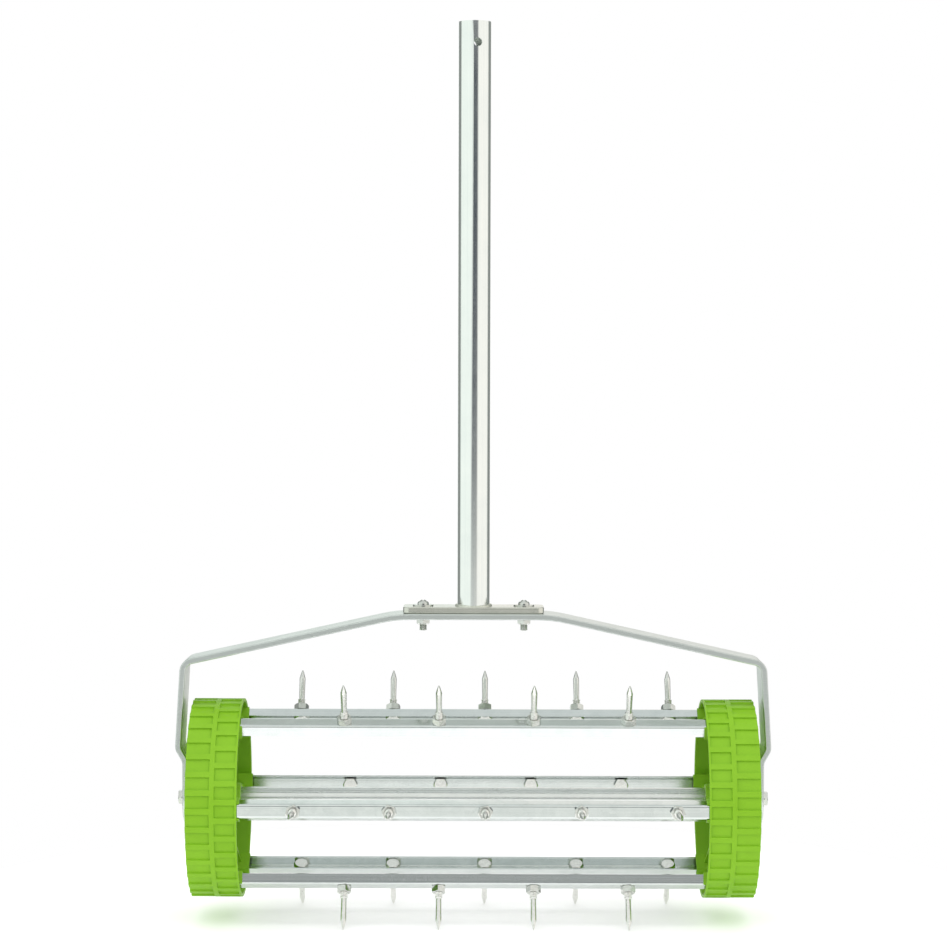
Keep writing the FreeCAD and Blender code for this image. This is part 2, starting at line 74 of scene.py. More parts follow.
Colour = tuple[float, float, float]
Range = tuple[float, float]
Corners = Sequence[tuple[float, float, float]]
Rows = Sequence[tuple[np.ndarray, np.ndarray]]
Piece = bpy.types.Object
Material = bpy.types.Material
Socket = bpy.types.NodeSocket
MOST_NOISE: Range = (0.3, 0.7)


class Body(Enum):
    """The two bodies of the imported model."""

    FRAME = "handle_frame"
    DRUM = "drum"


class Side(Enum):
    """The two ends of the axle, with the sign of X on each."""

    LEFT = -1
    RIGHT = 1


# --- Surfaces ---
def smooth_step(start: float, end: float, value: np.ndarray) -> np.ndarray:
    """Rises from 0 at start to 1 at end along 3t^2 - 2t^3.

    Args:
        start: Where the rise begins.
        end: Where the rise is complete.
        value: The numbers to pass through the curve.

    Returns:
        The height of the curve at each number.
    """
    share = np.clip((value - start) / (end - start), 0.0, 1.0)
    return share * share * (3.0 - 2.0 * share)


def grid_quads(rows: int, columns: int, wrap_rows: bool) -> np.ndarray:
    """Numbers the corners of a grid's four-sided faces.

    Args:
        rows: How many rows of points the grid has.
        columns: How many points each row has; the rows close on themselves.
        wrap_rows: Whether the last row joins the first.

    Returns:
        One line of four point numbers for each face.
    """
    starts = np.arange(rows if wrap_rows else rows - 1)
    row, column = np.meshgrid(starts, np.arange(columns), indexing="ij")
    next_row = (row + 1) % rows * columns
    next_column = (column + 1) % columns
    row = row * columns
    corners = [row + column, row + next_column, next_row + next_column, next_row + column]
    return np.stack(corners, axis=-1).reshape(-1, 4)


def enclosed_volume(points: np.ndarray, triangles: np.ndarray) -> float:
    """Adds up the tetrahedra between the origin and each triangle.

    Args:
        points: The surface's points.
        triangles: Three point numbers for each face.

    Returns:
        The volume, which is negative where the faces point inwards.
    """
    first, second, third = (points[triangles[:, corner]] for corner in range(3))
    return float(np.einsum("ij,ij->i", first, np.cross(second, third)).sum() / 6.0)


def rounded_outline(corners: Corners, steps: int = 4) -> np.ndarray:
    """Replaces each corner of a closed outline by an arc that touches both of its sides.

    Args:
        corners: The outline's corners as (first, second, radius).
        steps: How many spans each arc has.

    Returns:
        The outline's points, two numbers each.
    """
    points: list[np.ndarray] = []
    places = np.array([corner[:2] for corner in corners], float)
    for index, (_, _, radius) in enumerate(corners):
        here = places[index]
        before = places[index - 1] - here
        after = places[(index + 1) % len(places)] - here
        before /= np.linalg.norm(before)
        after /= np.linalg.norm(after)
        half = math.acos(float(np.clip(before @ after, -1.0, 1.0))) / 2.0
        if radius == 0.0:
            points.append(here[None, :])
            continue
        bisector = (before + after) / np.linalg.norm(before + after)
        centre = here + bisector * radius / math.sin(half)
        start = here + before * radius / math.tan(half) - centre
        end = here + after * radius / math.tan(half) - centre
        share = np.linspace(0.0, 1.0, steps + 1)[:, None]
        turn = math.pi - 2.0 * half
        arc = (np.sin((1.0 - share) * turn) * start + np.sin(share * turn) * end) / math.sin(turn)
        points.append(centre + arc)
    return np.vstack(points)


def turned(height: np.ndarray, radius: np.ndarray, angles: np.ndarray) -> np.ndarray:
    """Turns a profile about the upright axis: x = r cos a, y = r sin a, z = h.

    Args:
        height: The height at each row, or at each row and column.
        radius: The radius at each row and column.
        angles: The angle of each column.

    Returns:
        The grid of points.
    """
    high = np.broadcast_to(height, radius.shape)
    return np.stack([radius * np.cos(angles), radius * np.sin(angles), high], axis=-1)


def stacked(parts: Rows, columns: int) -> tuple[np.ndarray, np.ndarray]:
    """Puts groups of rows one after another, each widened to all the columns.

    Args:
        parts: The groups, each as two arrays, such as heights and radii.
        columns: How many columns the grid has.

    Returns:
        The two full arrays.
    """
    first, second = (
        np.vstack([np.broadcast_to(part[index], (len(part[index]), columns)) for part in parts])
        for index in range(2)
    )
    return first, second


def box_corners(left: float, low: float, right: float, high: float, round_off: Range) -> Corners:
    """The corners of an upright rectangle, for rounded_outline.

    Args:
        left: Its left side.
        low: Its lower side.
        right: Its right side.
        high: Its upper side.
        round_off: The radius of its left and of its right corners.

    Returns:
        The corners, as (first, second, radius).
    """
    near, far = round_off
    return [(left, low, near), (right, low, far), (right, high, far), (left, high, near)]


def hexagon_reach(across_flats: float, angles: np.ndarray, turn: float) -> np.ndarray:
    """How far a hexagon reaches in each direction: half its width over cos of the angle to the flat.

    Args:
        across_flats: The distance between two opposite flats.
        angles: The directions.
        turn: The direction of one corner.

    Returns:
        The distance from the middle in each direction.
    """
    sixth = math.pi / 3.0
    from_flat = np.mod(angles - turn, sixth) - sixth / 2.0
    return across_flats / 2.0 / np.cos(from_flat)


def slab(outline: np.ndarray, thickness: float, bevel: float) -> np.ndarray:
    """A plate: an outline carried across its thickness, drawn in a little at both faces.

    The outline shrinks towards its middle by the bevel at the two faces. It lies in the first and
    third directions, and the thickness runs along the second.

    Args:
        outline: The plate's convex outline, two numbers a point.
        thickness: The plate's thickness.
        bevel: The width of the bevel round both faces.

    Returns:
        The grid of points, one row for each station across the thickness.
    """
    middle = outline.mean(axis=0)
    reach = np.linalg.norm(outline - middle, axis=1, keepdims=True)
    drawn_in = middle + (outline - middle) * (1.0 - bevel / reach)
    half = thickness / 2.0
    stations = ((-half, drawn_in), (bevel - half, outline), (half - bevel, outline), (half, drawn_in))
    return np.stack([np.insert(line, 1, depth, axis=1) for depth, line in stations])


def turn_about_axle(points: np.ndarray, angle: float) -> np.ndarray:
    """Turns points about the X axis: y' = y cos a - z sin a, z' = y sin a + z cos a.

    Args:
        points: The points, the last direction holding x, y and z.
        angle: The angle in radians.

    Returns:
        The turned points.
    """
    x, y, z = np.moveaxis(points, -1, 0)
    cos, sin = math.cos(angle), math.sin(angle)
    return np.stack([x, y * cos - z * sin, y * sin + z * cos], axis=-1)


class Skin:
    """One piece's mesh, gathered from closed surfaces whose faces point outwards."""

    def __init__(self) -> None:
        """Starts with nothing in the mesh."""
        self.points: list[np.ndarray] = []
        self.faces: list[list[int]] = []
        self.count = 0

    def add(self, grid: np.ndarray, wrap_rows: bool = False) -> None:
        """Adds a closed surface.

        The rows close on themselves. Either the last row joins the first, as on a ring, or both
        end rows are closed by a fan from the mean of their points.

        Args:
            grid: The points, by row and column.
            wrap_rows: Whether the last row joins the first.
        """
        rows, columns, _ = grid.shape
        points = grid.reshape(-1, 3)
        quads = grid_quads(rows, columns, wrap_rows)
        fans = np.empty((0, 3), int)
        if not wrap_rows:
            here = np.arange(columns)
            after = (here + 1) % columns
            pole = np.full(columns, rows * columns)
            last = (rows - 1) * columns
            first_fan = np.stack([pole, after, here], axis=1)
            last_fan = np.stack([pole + 1, last + here, last + after], axis=1)
            fans = np.vstack([first_fan, last_fan])
            points = np.vstack([points, grid[0].mean(axis=0), grid[-1].mean(axis=0)])
        halves = np.vstack([quads[:, [0, 1, 2]], quads[:, [0, 2, 3]], fans])
        step = 1 if enclosed_volume(points - points.mean(axis=0), halves) > 0.0 else -1
        self.faces += (quads[:, ::step] + self.count).tolist()
        self.faces += (fans[:, ::step] + self.count).tolist()
        self.points.append(points)
        self.count += len(points)

    def build(self, name: str, material: Material, smooth_under: float = 32.0) -> Piece:
        """Makes the object, with edges kept sharp where they turn further than an angle.

        Args:
            name: The piece's name.
            material: Its material.
            smooth_under: The angle in degrees under which an edge is shaded smooth.

        Returns:
            The new object, at the origin.
        """
        mesh = bpy.data.meshes.new(name)
        mesh.from_pydata(np.vstack(self.points), [], self.faces)
        mesh.polygons.foreach_set("use_smooth", np.ones(len(mesh.polygons), bool))
        mesh.set_sharp_from_angle(angle=math.radians(smooth_under))
        mesh.materials.append(material)
        mesh.update()
        piece = bpy.data.objects.new(name, mesh)
        bpy.context.scene.collection.objects.link(piece)
        return piece


def stand_for(piece: Piece, body: Body, slot: str, *nodes: str) -> Piece:
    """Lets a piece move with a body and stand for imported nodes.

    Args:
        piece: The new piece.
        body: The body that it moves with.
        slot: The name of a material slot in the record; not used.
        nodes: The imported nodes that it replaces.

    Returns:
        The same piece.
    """
    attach(piece, body.value)
    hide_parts(*nodes)
    return piece


# --- Finishes ---
class Nodes:
    """A short way to add and join the nodes of one node tree."""

    def __init__(self, tree: bpy.types.NodeTree) -> None:
        """Starts to work on a tree.

        Args:
            tree: The tree that takes the nodes.
        """
        self.tree = tree

    def add(self, kind: str, inputs: dict[str | int, object], **settings: object) -> bpy.types.Node:
        """Adds a node, sets it up and joins its inputs.

        Args:
            kind: The node's type.
            inputs: A value, or the output to join, for each named input.
            settings: The node's own properties.

        Returns:
            The new node.
        """
        node = self.tree.nodes.new(kind)
        for key, value in settings.items():
            setattr(node, key, value)
        for key, value in inputs.items():
            if isinstance(value, Socket):
                self.tree.links.new(value, node.inputs[key])
            else:
                node.inputs[key].default_value = value
        return node

    def calculate(self, operation: str, *values: object) -> Socket:
        """One step of arithmetic."""
        return self.add("ShaderNodeMath", dict(enumerate(values)), operation=operation).outputs[0]

    def blend(self, share: Socket, first: object, second: object) -> Socket:
        """Mixes two colours, each a fixed colour or an output.

        Args:
            share: How much of the second colour there is.
            first: The first colour.
            second: The second colour.

        Returns:
            The mixed colour.
        """
        ends = [value if isinstance(value, Socket) else (*value, 1.0) for value in (first, second)]
        inputs = {"Factor": share, 6: ends[0], 7: ends[1]}
        return self.add("ShaderNodeMix", inputs, data_type="RGBA").outputs[2]


class Graph(Nodes):
    """The nodes of one material, round its principled shader."""

    def __init__(self, name: str) -> None:
        """Starts a material that holds only a shader and an output.

        Args:
            name: The material's name.
        """
        self.material = bpy.data.materials.new(name)
        self.material.use_nodes = True
        super().__init__(self.material.node_tree)
        self.shader = next(node for node in self.tree.nodes if node.type == "BSDF_PRINCIPLED")

    def place(self, scale: Colour = (1.0, 1.0, 1.0)) -> Socket:
        """The piece's own coordinates, in metres, with each direction multiplied by a number."""
        coordinates = self.add("ShaderNodeTexCoord", {}).outputs["Object"]
        return self.add("ShaderNodeMapping", {"Vector": coordinates, "Scale": scale}).outputs["Vector"]

    def noise(self, vector: Socket, scale: float, detail: float = 4.0) -> Socket:
        """Soft random values from 0 to 1, so many to the metre."""
        inputs = {"Vector": vector, "Scale": scale, "Detail": detail, "Roughness": 0.6}
        return self.add("ShaderNodeTexNoise", inputs).outputs["Fac"]

    def span(self, value: Socket, source: Range = MOST_NOISE, target: Range = (0.0, 1.0)) -> Socket:
        """Moves values from one range to another, and holds them inside it."""
        ends = {"From Min": source[0], "From Max": source[1], "To Min": target[0], "To Max": target[1]}
        return self.add("ShaderNodeMapRange", {"Value": value, **ends}, clamp=True).outputs["Result"]

    def sum(self, *values: tuple[Socket, float]) -> Socket:
        """Adds outputs up, each multiplied by a number.

        Args:
            values: The outputs, each with its number.

        Returns:
            The total.
        """
        total: object = 0.0
        for value, weight in values:
            total = self.calculate("MULTIPLY_ADD", value, weight, total)
        return total

    def bump(self, height: Socket, depth: float) -> None:
        """Joins a height to the shader's normal."""
        inputs = {"Height": height, "Distance": depth, "Strength": 1.0}
        self.join("Normal", self.add("ShaderNodeBump", inputs).outputs["Normal"])

    def join(self, name: str, value: Socket) -> None:
        """Joins an output to one of the shader's inputs."""
        self.tree.links.new(value, self.shader.inputs[name])

    def fix(self, **values: float) -> None:
        """Sets constants on the shader's own inputs, with spaces written as underscores."""
        for name, value in values.items():
            self.shader.inputs[name.replace("_", " ")].default_value = value


@dataclass(frozen=True)
class MetalFinish:
    """A plated or galvanised metal with draw lines, soft patches and a fine grain."""

    name: str
    bright: Colour
    dull: Colour
    roughness: float
    roughness_spread: float
    line_density: Colour
    line_depth: float
    patch_density: float = 45.0
    grain_density: float = 2600.0
    grain_depth: float = 0.004 * MM
    spangle_density: float = 0.0
    spangle_strength: float = 0.0
    line_share: float = 0.55
    tone_range: Range = (0.32, 0.66)

    def material(self) -> Material:
        """Makes the material.

        Colour runs from dull to bright by the patches and the draw lines. The lines are noise
        stretched along the piece, and they also change the roughness and the height.

        Returns:
            The new material.
        """
        graph = Graph(self.name)
        place = graph.place()
        lines = graph.noise(graph.place(self.line_density), 1.0, 6.0)
        patches = graph.noise(place, self.patch_density, 3.0)
        grain = graph.noise(place, self.grain_density, 2.0)
        share = graph.sum((lines, self.line_share), (patches, 1.0 - self.line_share))
        if self.spangle_density > 0.0:
            inputs = {"Vector": place, "Scale": self.spangle_density, "Randomness": 1.0}
            cells = graph.add("ShaderNodeTexVoronoi", inputs, feature="F1").outputs["Color"]
            cell = graph.add("ShaderNodeSeparateColor", {"Color": cells}).outputs["Red"]
            share = graph.sum((share, 1.0 - self.spangle_strength), (cell, self.spangle_strength))
        tone = graph.span(share, self.tone_range)
        graph.join("Base Color", graph.blend(tone, self.dull, self.bright))
        rough = (self.roughness + self.roughness_spread, self.roughness - self.roughness_spread)
        graph.join("Roughness", graph.span(share, target=rough))
        graph.bump(graph.sum((lines, self.line_depth), (grain, self.grain_depth)), 1.0)
        graph.fix(Metallic=1.0)
        return graph.material


@dataclass(frozen=True)
class PlasticFinish:
    """Moulded plastic with a fine satin grain and faint flow marks."""

    name: str
    colour: Colour
    deep: Colour
    roughness: float = 0.42
    grain_density: float = 1500.0
    grain_depth: float = 0.012 * MM
    flow_density: float = 38.0
    roughness_spread: Range = (-0.06, 0.08)
    shine: float = 0.16

    def material(self) -> Material:
        """Makes the material; the colour drifts by the flow marks, the gloss by marks and grain.

        Returns:
            The new material.
        """
        graph = Graph(self.name)
        place = graph.place()
        flow = graph.noise(place, self.flow_density, 3.0)
        grain = graph.noise(place, self.grain_density, 3.0)
        graph.join("Base Color", graph.blend(graph.span(flow), self.deep, self.colour))
        less, more = self.roughness_spread
        spread = (self.roughness + less, self.roughness + more)
        graph.join("Roughness", graph.span(graph.sum((flow, 0.5), (grain, 0.5)), target=spread))
        graph.bump(grain, self.grain_depth)
        graph.fix(Specular_IOR_Level=self.shine)
        return graph.material


@dataclass(frozen=True)
class WeldFinish:
    """A plated weld bead with dark specks of spatter and slag."""

    name: str
    bright: Colour
    dull: Colour
    speck: Colour
    roughness: float = 0.38
    roughness_spread: float = 0.15
    tone_density: float = 420.0
    tone_range: Range = (0.35, 0.65)
    speck_density: float = 1500.0
    speck_range: Range = (0.62, 0.7)
    bump_density: float = 900.0
    bump_depth: float = 0.12 * MM

    def material(self) -> Material:
        """Makes the material; specks show where a fine noise is high.

        Returns:
            The new material.
        """
        graph = Graph(self.name)
        place = graph.place()
        tone = graph.span(graph.noise(place, self.tone_density), self.tone_range)
        specks = graph.span(graph.noise(place, self.speck_density, 2.0), self.speck_range)
        metal = graph.blend(tone, self.dull, self.bright)
        graph.join("Base Color", graph.blend(specks, metal, self.speck))
        rough = (self.roughness + self.roughness_spread, self.roughness)
        graph.join("Roughness", graph.span(tone, (0.0, 1.0), rough))
        graph.bump(graph.noise(place, self.bump_density), self.bump_depth)
        graph.fix(Metallic=1.0)
        return graph.material


@dataclass(frozen=True)
class FloorFinish:
    """A pale matt floor with a very faint mottle, lit a little from below."""

    name: str
    light: Colour = (0.93, 0.93, 0.93)
    shade: Colour = (0.91, 0.91, 0.91)
    glow: float = 0.16
    mottle_density: float = 9.0
    roughness: float = 0.9
    shine: float = 0.1

    def material(self) -> Material:
        """Makes the material; the two tones drift over a few centimetres.

        Returns:
            The new material.
        """
        graph = Graph(self.name)
        tone = graph.span(graph.noise(graph.place(), self.mottle_density))
        graph.join("Base Color", graph.blend(tone, self.shade, self.light))
        graph.fix(Roughness=self.roughness, Specular_IOR_Level=self.shine, Emission_Strength=self.glow)
        return graph.material


ALONG_X = (6.0, 1700.0, 1700.0)
ALONG_Z = (1500.0, 1500.0, 5.0)
SPIKE_GRAIN = (500.0, 500.0, 500.0)
NUT_GRAIN = (420.0, 420.0, 420.0)

ZINC_TUBE = MetalFinish(
    "zinc_tube", (0.94, 0.96, 0.93), (0.86, 0.89, 0.87), 0.15, 0.04, ALONG_Z, 0.008 * MM
)
ZINC_PLATE = MetalFinish(
    "zinc_plate", (0.76, 0.76, 0.69), (0.58, 0.58, 0.52), 0.22, 0.05, ALONG_X, 0.010 * MM
)
YOKE_STEEL = MetalFinish(
    "yoke_steel", (0.74, 0.77, 0.75), (0.62, 0.66, 0.64), 0.34, 0.06, ALONG_X, 0.010 * MM
)
RAIL_ZINC = MetalFinish(
    "galvanised_rail", (0.76, 0.79, 0.78), (0.66, 0.70, 0.69), 0.13, 0.04, ALONG_X, 0.012 * MM,
    spangle_density=190.0, spangle_strength=0.10,
)
AXLE_STEEL = MetalFinish(
    "axle_steel", (0.82, 0.83, 0.82), (0.70, 0.72, 0.71), 0.25, 0.06, ALONG_X, 0.008 * MM
)
SPIKE_STEEL = MetalFinish(
    "spike_steel", (0.88, 0.88, 0.85), (0.72, 0.72, 0.69), 0.24, 0.06, SPIKE_GRAIN, 0.010 * MM
)
FASTENER_ZINC = MetalFinish(
    "zinc_fasteners", (0.76, 0.77, 0.74), (0.56, 0.57, 0.54), 0.16, 0.05, NUT_GRAIN, 0.008 * MM
)
GREEN_PLASTIC = PlasticFinish("green_plastic", (0.232, 0.486, 0.022), (0.210, 0.448, 0.018))
BEAD_METAL = WeldFinish("weld_bead", (0.86, 0.87, 0.78), (0.68, 0.70, 0.62), (0.24, 0.24, 0.20))
PALE_FLOOR = FloorFinish("pale_floor")


# --- Threads and fasteners ---
@dataclass
class Thread:
    """A helical screw thread: the radius dips once for each pitch along the axis and each turn."""

    radius: float
    pitch: float = 1.0 * MM
    depth: float = 0.55 * MM
    rows_per_pitch: int = 6

    def rows(self, start: float, end: float, angles: np.ndarray) -> tuple[np.ndarray, np.ndarray]:
        """The thread's heights and radii.

        The dip is a triangle wave of height over pitch less angle over a turn, and it fades out
        beside both ends.

        Args:
            start: The height where the thread starts.
            end: The height where it ends.
            angles: The angle of each column.

        Returns:
            The height of each row as a column, and the radius at each row and column.
        """
        count = max(4, round(abs(end - start) / self.pitch * self.rows_per_pitch))
        height = np.linspace(start, end, count)[:, None]
        phase = np.mod(height / self.pitch - angles / (2.0 * math.pi), 1.0)
        dip = 1.0 - np.abs(2.0 * phase - 1.0)
        low, high = min(start, end), max(start, end)
        fade = smooth_step(low, low + self.pitch / 2.0, height)
        fade = fade * smooth_step(high, high - self.pitch, height)
        return height, self.radius - self.depth * dip * fade


@dataclass
class HexHead:
    """A hexagon with a chamfer cone over its outer face."""

    across_flats: float = 10.0 * MM
    face_share: float = 0.95
    chamfer_slope: float = math.tan(math.radians(30.0))

    def chamfer(self, angles: np.ndarray, turn: float) -> tuple[np.ndarray, np.ndarray]:
        """Radii and drops from the face's round edge out to the hexagon.

        The drop grows with the radius along the chamfer's slope, so that its lower edge rises
        at the corners as the curve where a cone meets a flat.

        Args:
            angles: The angle of each column.
            turn: The direction of one corner.

        Returns:
            Three rows of radii and of drops below the face.
        """
        reach = hexagon_reach(self.across_flats, angles, turn)
        face = np.full_like(reach, self.across_flats / 2.0 * self.face_share)
        radius = np.stack([face, (face + reach) / 2.0, reach])
        return radius, (radius - face) * self.chamfer_slope


STEEP_HEAD = HexHead(face_share=0.74, chamfer_slope=0.8)


def column_angles(turn: float, columns: int = 36) -> np.ndarray:
    """Evenly spaced angles that start at a hexagon's corner."""
    return turn + np.arange(columns) * 2.0 * math.pi / columns


@dataclass
class Nut:
    """A hexagon nut with both faces chamfered and its thread's mouth opened out."""

    bottom: float
    height: float = 5.0 * MM
    bore: float = 3.0 * MM
    mouth: float = 0.45 * MM
    head: HexHead = field(default_factory=HexHead)

    def surface(self, turn: float) -> np.ndarray:
        """The nut as a ring of rows: bore, mouth, upper face, sides, lower face and mouth.

        Args:
            turn: The direction of one corner.

        Returns:
            The grid, whose last row joins its first.
        """
        angles = column_angles(turn)
        top = self.bottom + self.height
        radius, drop = self.head.chamfer(angles, turn)
        bore = np.full((1, len(angles)), self.bore)
        mouth = bore + self.mouth
        level = np.ones_like(bore)
        rows = [
            (level * (top - self.mouth), bore),
            (level * top, mouth),
            (top - drop, radius),
            (self.bottom + drop[::-1], radius[::-1]),
            (level * self.bottom, mouth),
            (level * (self.bottom + self.mouth), bore),
        ]
        return turned(*stacked(rows, len(angles)), angles)


@dataclass
class Spike:
    """A spike drawn pointing up from the axle: hexagon head, thread, long shank and point."""

    head_top: float
    tip: float
    nut_top: float
    head_height: float = 4.0 * MM
    thread_length: float = 4.2 * MM
    shank_radius: float = 2.15 * MM
    swell: float = 0.2 * MM
    point_length: float = 7.0 * MM
    point_flat: float = 0.35 * MM
    point_power: float = 0.85
    thread_overlap: float = 0.5 * MM
    thread_runout: float = 0.7 * MM
    point_setback: float = 1.0 * MM
    thread: Thread = field(default_factory=lambda: Thread(radius=3.0 * MM))
    head: HexHead = field(default_factory=HexHead)

    def surface(self, turn: float) -> np.ndarray:
        """The whole spike as one turned surface.

        Below the head's underside the radius is the hexagon's. Above it come the plain neck, the
        helical thread, a shank that swells slightly towards the point, and a slightly curved
        point whose radius goes with a power of the distance to the tip.

        Args:
            turn: The direction of one corner of the head.

        Returns:
            The grid, whose end rows are closed by fans.
        """
        angles = column_angles(turn)
        level = np.ones((1, len(angles)))
        radius, drop = self.head.chamfer(angles, turn)
        base = self.head_top - self.head_height
        thread_end = self.nut_top + self.thread_length
        thread_start = self.nut_top - self.thread_overlap
        point_start = self.tip - self.point_length
        share = np.linspace(0.0, 1.0, 9)[:, None]
        swollen = self.shank_radius + self.swell
        point = self.point_flat + (swollen - self.point_flat) * (1.0 - share) ** self.point_power
        shank_ends = (thread_end + self.thread_runout, point_start - self.point_setback)
        shank_heights = np.linspace(*shank_ends, 4)[:, None]
        shank_radii = np.linspace(self.shank_radius, swollen, 4)[:, None]
        rows = [
            (base + drop, radius),
            (level * self.head_top, radius[-1:]),
            (level * self.head_top, level * self.thread.radius),
            self.thread.rows(thread_start, thread_end, angles),
            (shank_heights, shank_radii),
            (point_start + share * self.point_length, point),
        ]
        return turned(*stacked(rows, len(angles)), angles)


@dataclass
class PanScrew:
    """A cross-recessed pan-head screw, standing with its head up."""

    seat: float
    end: float
    head_radius: float = 4.4 * MM
    head_height: float = 4.0 * MM
    crown: float = 3.2 * MM
    recess_depth: float = 1.5 * MM
    recess_reach: float = 1.9 * MM
    recess_width: float = 0.65 * MM
    recess_wall: float = 0.45 * MM
    middle: float = 0.05 * MM
    dome_share: float = 0.45
    thread_overlap: float = 1.0 * MM
    end_chamfer: Range = (0.6 * MM, 0.5 * MM)
    columns: int = 96
    thread: Thread = field(default_factory=lambda: Thread(radius=3.0 * MM))

    def recess(self, x: np.ndarray, y: np.ndarray) -> np.ndarray:
        """How deep the cross is cut: full inside either arm, rising smoothly through its wall.

        Args:
            x: Distances along one arm.
            y: Distances along the other.

        Returns:
            The depth below the crown at each point.
        """
        first = np.maximum(np.abs(y) - self.recess_width, np.abs(x) - self.recess_reach)
        second = np.maximum(np.abs(x) - self.recess_width, np.abs(y) - self.recess_reach)
        half = self.recess_wall / 2.0
        return self.recess_depth * (1.0 - smooth_step(-half, half, np.minimum(first, second)))

    def surface(self, turn: float) -> np.ndarray:
        """The screw as one turned surface, from the middle of its crown to its thread's end.

        The crown falls from the middle by the square of the radius, with the cross cut into it, and
        then by a quarter circle to the head's side.

        Args:
            turn: The direction of one arm of the cross.

        Returns:
            The grid, whose end rows are closed by fans.
        """
        angles = np.arange(self.columns) * 2.0 * math.pi / self.columns
        level = np.ones((1, self.columns))
        top = self.seat + self.head_height
        shoulder = self.head_radius - self.crown / 2.0
        radius = np.linspace(self.middle, shoulder, 26)[:, None] * level
        dome = top - self.crown * self.dome_share * (radius / shoulder) ** 2
        crown = dome - self.recess(radius * np.cos(angles - turn), radius * np.sin(angles - turn))
        bend = np.linspace(0.0, math.pi / 2.0, 7)[1:, None]
        edge_height = top - self.crown * (self.dome_share + (1.0 - self.dome_share) * (1.0 - np.cos(bend)))
        edge_radius = shoulder + (self.head_radius - shoulder) * np.sin(bend)
        chamfer_length, chamfer_depth = self.end_chamfer
        thread_ends = (self.seat - self.thread_overlap, self.end + chamfer_length)
        rows = [
            (crown, radius),
            (edge_height, edge_radius),
            (level * self.seat, level * self.head_radius),
            (level * self.seat, level * self.thread.radius),
            self.thread.rows(*thread_ends, angles),
            (level * self.end, level * (self.thread.radius - chamfer_depth)),
        ]
        return turned(*stacked(rows, self.columns), angles)


